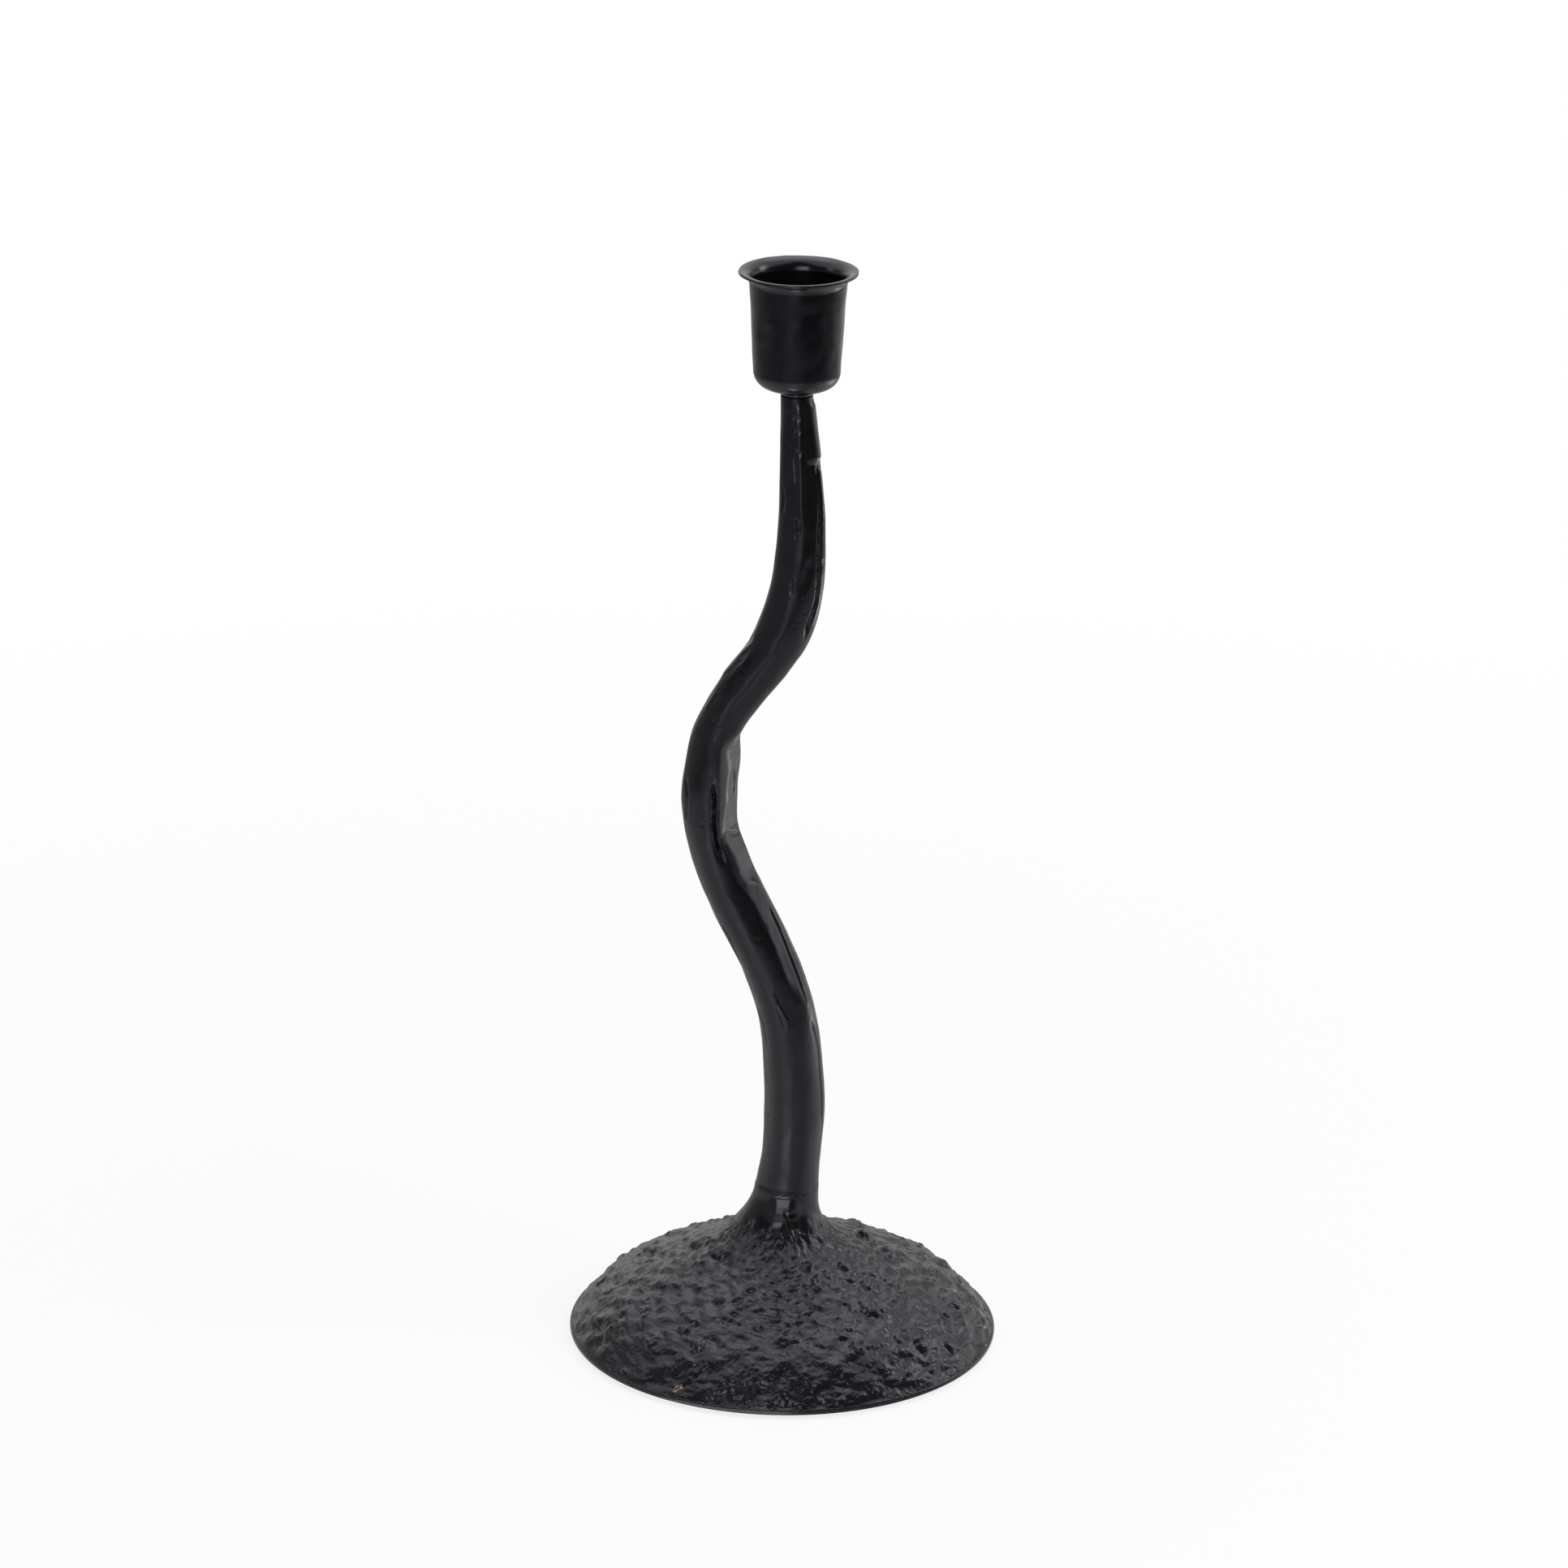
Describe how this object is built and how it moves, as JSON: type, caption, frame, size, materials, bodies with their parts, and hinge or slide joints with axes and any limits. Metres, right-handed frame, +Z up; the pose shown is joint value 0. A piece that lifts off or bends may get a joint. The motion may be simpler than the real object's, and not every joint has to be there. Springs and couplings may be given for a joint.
{
  "type": "candle holder",
  "caption": "Black metal candle holder: rough cast dome foot, tall wavy stem and a thin flared cup for a dinner candle.",
  "frame": {"origin": "centre of the foot's circle on the plane that the felt pads stand on", "axes": "+Z up along the foot's axis, +X to the right as the picture shows the object, front towards -Y"},
  "size_m": [0.12, 0.12, 0.309],
  "materials": {
    "rough_black_iron": "black paint over a rough sand-cast skin, semi-gloss",
    "smooth_black_iron": "black paint over a hand-worked casting, satin",
    "black_sheet": "black powder coat, semi-matt",
    "zinc_steel": "plain zinc-plated steel",
    "felt": "pressed dark grey felt"
  },
  "bodies": {
    "root": {"base_casting": "rough_black_iron", "stem_casting": "smooth_black_iron", "tie_bolt": "zinc_steel", "tie_washer": "zinc_steel", "tie_lock_washer": "zinc_steel", "cup_collar": "black_sheet", "candle_cup": "black_sheet", "cup_washer": "zinc_steel", "cup_screw": "zinc_steel", "felt_pad_front": "felt", "felt_pad_right": "felt", "felt_pad_back": "felt", "felt_pad_left": "felt"}
  },
  "joints": []
}
